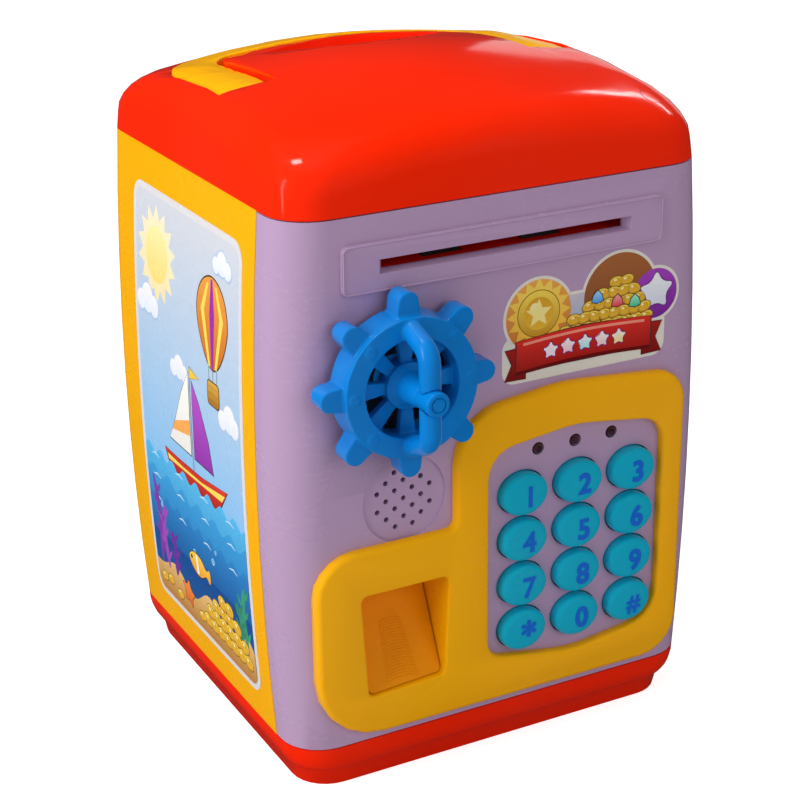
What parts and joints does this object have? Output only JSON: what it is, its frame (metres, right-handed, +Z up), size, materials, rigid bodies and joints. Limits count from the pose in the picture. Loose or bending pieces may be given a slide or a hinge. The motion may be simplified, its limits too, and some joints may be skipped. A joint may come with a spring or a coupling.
{
  "type": "safe coin bank",
  "caption": "Toy safe money box with a hinged keypad door, ship's wheel latch, note slot with rollers, finger pad, domed lid with coin slot and folding carry handle.",
  "frame": {"origin": "middle of the footprint on the surface it stands on", "axes": "+Z up, -Y out of the door, +X to the right as seen facing the door"},
  "size_m": [0.1375, 0.1558, 0.1969],
  "materials": {
    "yellow_plastic": "glossy",
    "red_plastic": "glossy",
    "lilac_plastic": "glossy",
    "blue_plastic": "satin",
    "teal_plastic": "satin",
    "white_plastic": "satin",
    "dark_plastic": "satin",
    "dark_lens": "glossy",
    "grey_rubber": "matte",
    "black_rubber": "matte",
    "steel": "zinc plated",
    "copper_coil": "enamelled wire",
    "board_green": "solder mask",
    "cone_paper": "matte",
    "side_print": "printed, laminated",
    "front_print": "printed, laminated",
    "cell_jacket": "satin"
  },
  "bodies": {
    "casing": {"body_shell": "yellow_plastic", "base_tray": "red_plastic", "lid_cover": "red_plastic", "coin_chute": "red_plastic", "side_label": "side_print", "lid_screws": "steel", "base_screws": "steel", "hinge_pins": "steel", "handle_pins": "steel", "battery_cover": "red_plastic", "battery_screw": "steel", "battery_cells": "cell_jacket", "battery_contacts": "steel", "switch_body": "dark_plastic"},
    "door": {"door_shell": "lilac_plastic", "door_bezel": "yellow_plastic", "door_back": "lilac_plastic", "door_screws": "steel", "front_sticker": "front_print", "key_mat": "grey_rubber", "main_board": "board_green", "board_parts": "dark_plastic", "status_lights": "dark_lens", "sensor_board": "board_green", "speaker_driver": "dark_plastic", "speaker_cone": "cone_paper", "feeder_frame": "red_plastic", "feeder_motor": "steel", "lock_coil": "copper_coil"},
    "handle": {"carry_handle": "yellow_plastic"},
    "switch": {"switch_knob": "dark_plastic"},
    "wheel": {"ship_wheel": "blue_plastic", "wheel_cap": "blue_plastic", "wheel_shaft": "steel", "latch_arm": "steel", "latch_screw": "steel"},
    "plunger": {"lock_plunger": "steel"},
    "pad": {"finger_pad": "yellow_plastic"},
    "feed_roller": {"roller_shaft": "steel", "feed_rollers": "black_rubber", "roller_gear": "white_plastic"},
    "pinch_roller": {"pinch_shaft": "steel", "pinch_rollers": "black_rubber"},
    "motor_gear": {"drive_gear": "white_plastic"},
    "button_1": {"key_1": "teal_plastic"},
    "button_2": {"key_2": "teal_plastic"},
    "button_3": {"key_3": "teal_plastic"},
    "button_4": {"key_4": "teal_plastic"},
    "button_5": {"key_5": "teal_plastic"},
    "button_6": {"key_6": "teal_plastic"},
    "button_7": {"key_7": "teal_plastic"},
    "button_8": {"key_8": "teal_plastic"},
    "button_9": {"key_9": "teal_plastic"},
    "button_star": {"key_star": "teal_plastic"},
    "button_0": {"key_0": "teal_plastic"},
    "button_hash": {"key_hash": "teal_plastic"}
  },
  "joints": [
    {"name": "door_hinge", "type": "hinge", "parent": "casing", "child": "door", "pos_m": [0.054, -0.053, 0.09], "axis": [0, 0, 1], "range_deg": [0, 90]},
    {"name": "handle_pivot", "type": "hinge", "parent": "casing", "child": "handle", "pos_m": [0, -0.004, 0.18859], "axis": [1, 0, 0], "range_deg": [0, 90]},
    {"name": "power_switch", "type": "slide", "parent": "casing", "child": "switch", "axis": [1, 0, 0], "range_m": [0, 0.004]},
    {"name": "wheel_turn", "type": "hinge", "parent": "door", "child": "wheel", "pos_m": [-0.0348, -0.065, 0.1237], "axis": [0, -1, 0], "range_deg": [0, 90]},
    {"name": "plunger_slide", "type": "slide", "parent": "door", "child": "plunger", "axis": [-1, 0, 0], "range_m": [0, 0.0035], "stiffness_N_per_m": 40},
    {"name": "pad_press", "type": "slide", "parent": "door", "child": "pad", "axis": [0, 1, 0], "range_m": [0, 0.0008], "stiffness_N_per_m": 400},
    {"name": "feed_spin", "type": "hinge", "parent": "door", "child": "feed_roller", "pos_m": [0, -0.0525, 0.1502], "axis": [1, 0, 0], "continuous": true},
    {"name": "pinch_spin", "type": "hinge", "parent": "door", "child": "pinch_roller", "pos_m": [0, -0.0525, 0.15975], "axis": [1, 0, 0], "continuous": true},
    {"name": "motor_spin", "type": "hinge", "parent": "door", "child": "motor_gear", "pos_m": [0.047, -0.0557, 0.13657], "axis": [1, 0, 0], "continuous": true},
    {"name": "press_1", "type": "slide", "parent": "door", "child": "button_1", "axis": [0, 1, 0], "range_m": [0, 0.0012], "stiffness_N_per_m": 300},
    {"name": "press_2", "type": "slide", "parent": "door", "child": "button_2", "axis": [0, 1, 0], "range_m": [0, 0.0012], "stiffness_N_per_m": 300},
    {"name": "press_3", "type": "slide", "parent": "door", "child": "button_3", "axis": [0, 1, 0], "range_m": [0, 0.0012], "stiffness_N_per_m": 300},
    {"name": "press_4", "type": "slide", "parent": "door", "child": "button_4", "axis": [0, 1, 0], "range_m": [0, 0.0012], "stiffness_N_per_m": 300},
    {"name": "press_5", "type": "slide", "parent": "door", "child": "button_5", "axis": [0, 1, 0], "range_m": [0, 0.0012], "stiffness_N_per_m": 300},
    {"name": "press_6", "type": "slide", "parent": "door", "child": "button_6", "axis": [0, 1, 0], "range_m": [0, 0.0012], "stiffness_N_per_m": 300},
    {"name": "press_7", "type": "slide", "parent": "door", "child": "button_7", "axis": [0, 1, 0], "range_m": [0, 0.0012], "stiffness_N_per_m": 300},
    {"name": "press_8", "type": "slide", "parent": "door", "child": "button_8", "axis": [0, 1, 0], "range_m": [0, 0.0012], "stiffness_N_per_m": 300},
    {"name": "press_9", "type": "slide", "parent": "door", "child": "button_9", "axis": [0, 1, 0], "range_m": [0, 0.0012], "stiffness_N_per_m": 300},
    {"name": "press_star", "type": "slide", "parent": "door", "child": "button_star", "axis": [0, 1, 0], "range_m": [0, 0.0012], "stiffness_N_per_m": 300},
    {"name": "press_0", "type": "slide", "parent": "door", "child": "button_0", "axis": [0, 1, 0], "range_m": [0, 0.0012], "stiffness_N_per_m": 300},
    {"name": "press_hash", "type": "slide", "parent": "door", "child": "button_hash", "axis": [0, 1, 0], "range_m": [0, 0.0012], "stiffness_N_per_m": 300}
  ],
  "couplings": [
    {"joint": "motor_spin", "follows": "feed_spin", "ratio": -1.8571},
    {"joint": "pinch_spin", "follows": "feed_spin", "ratio": -1}
  ]
}
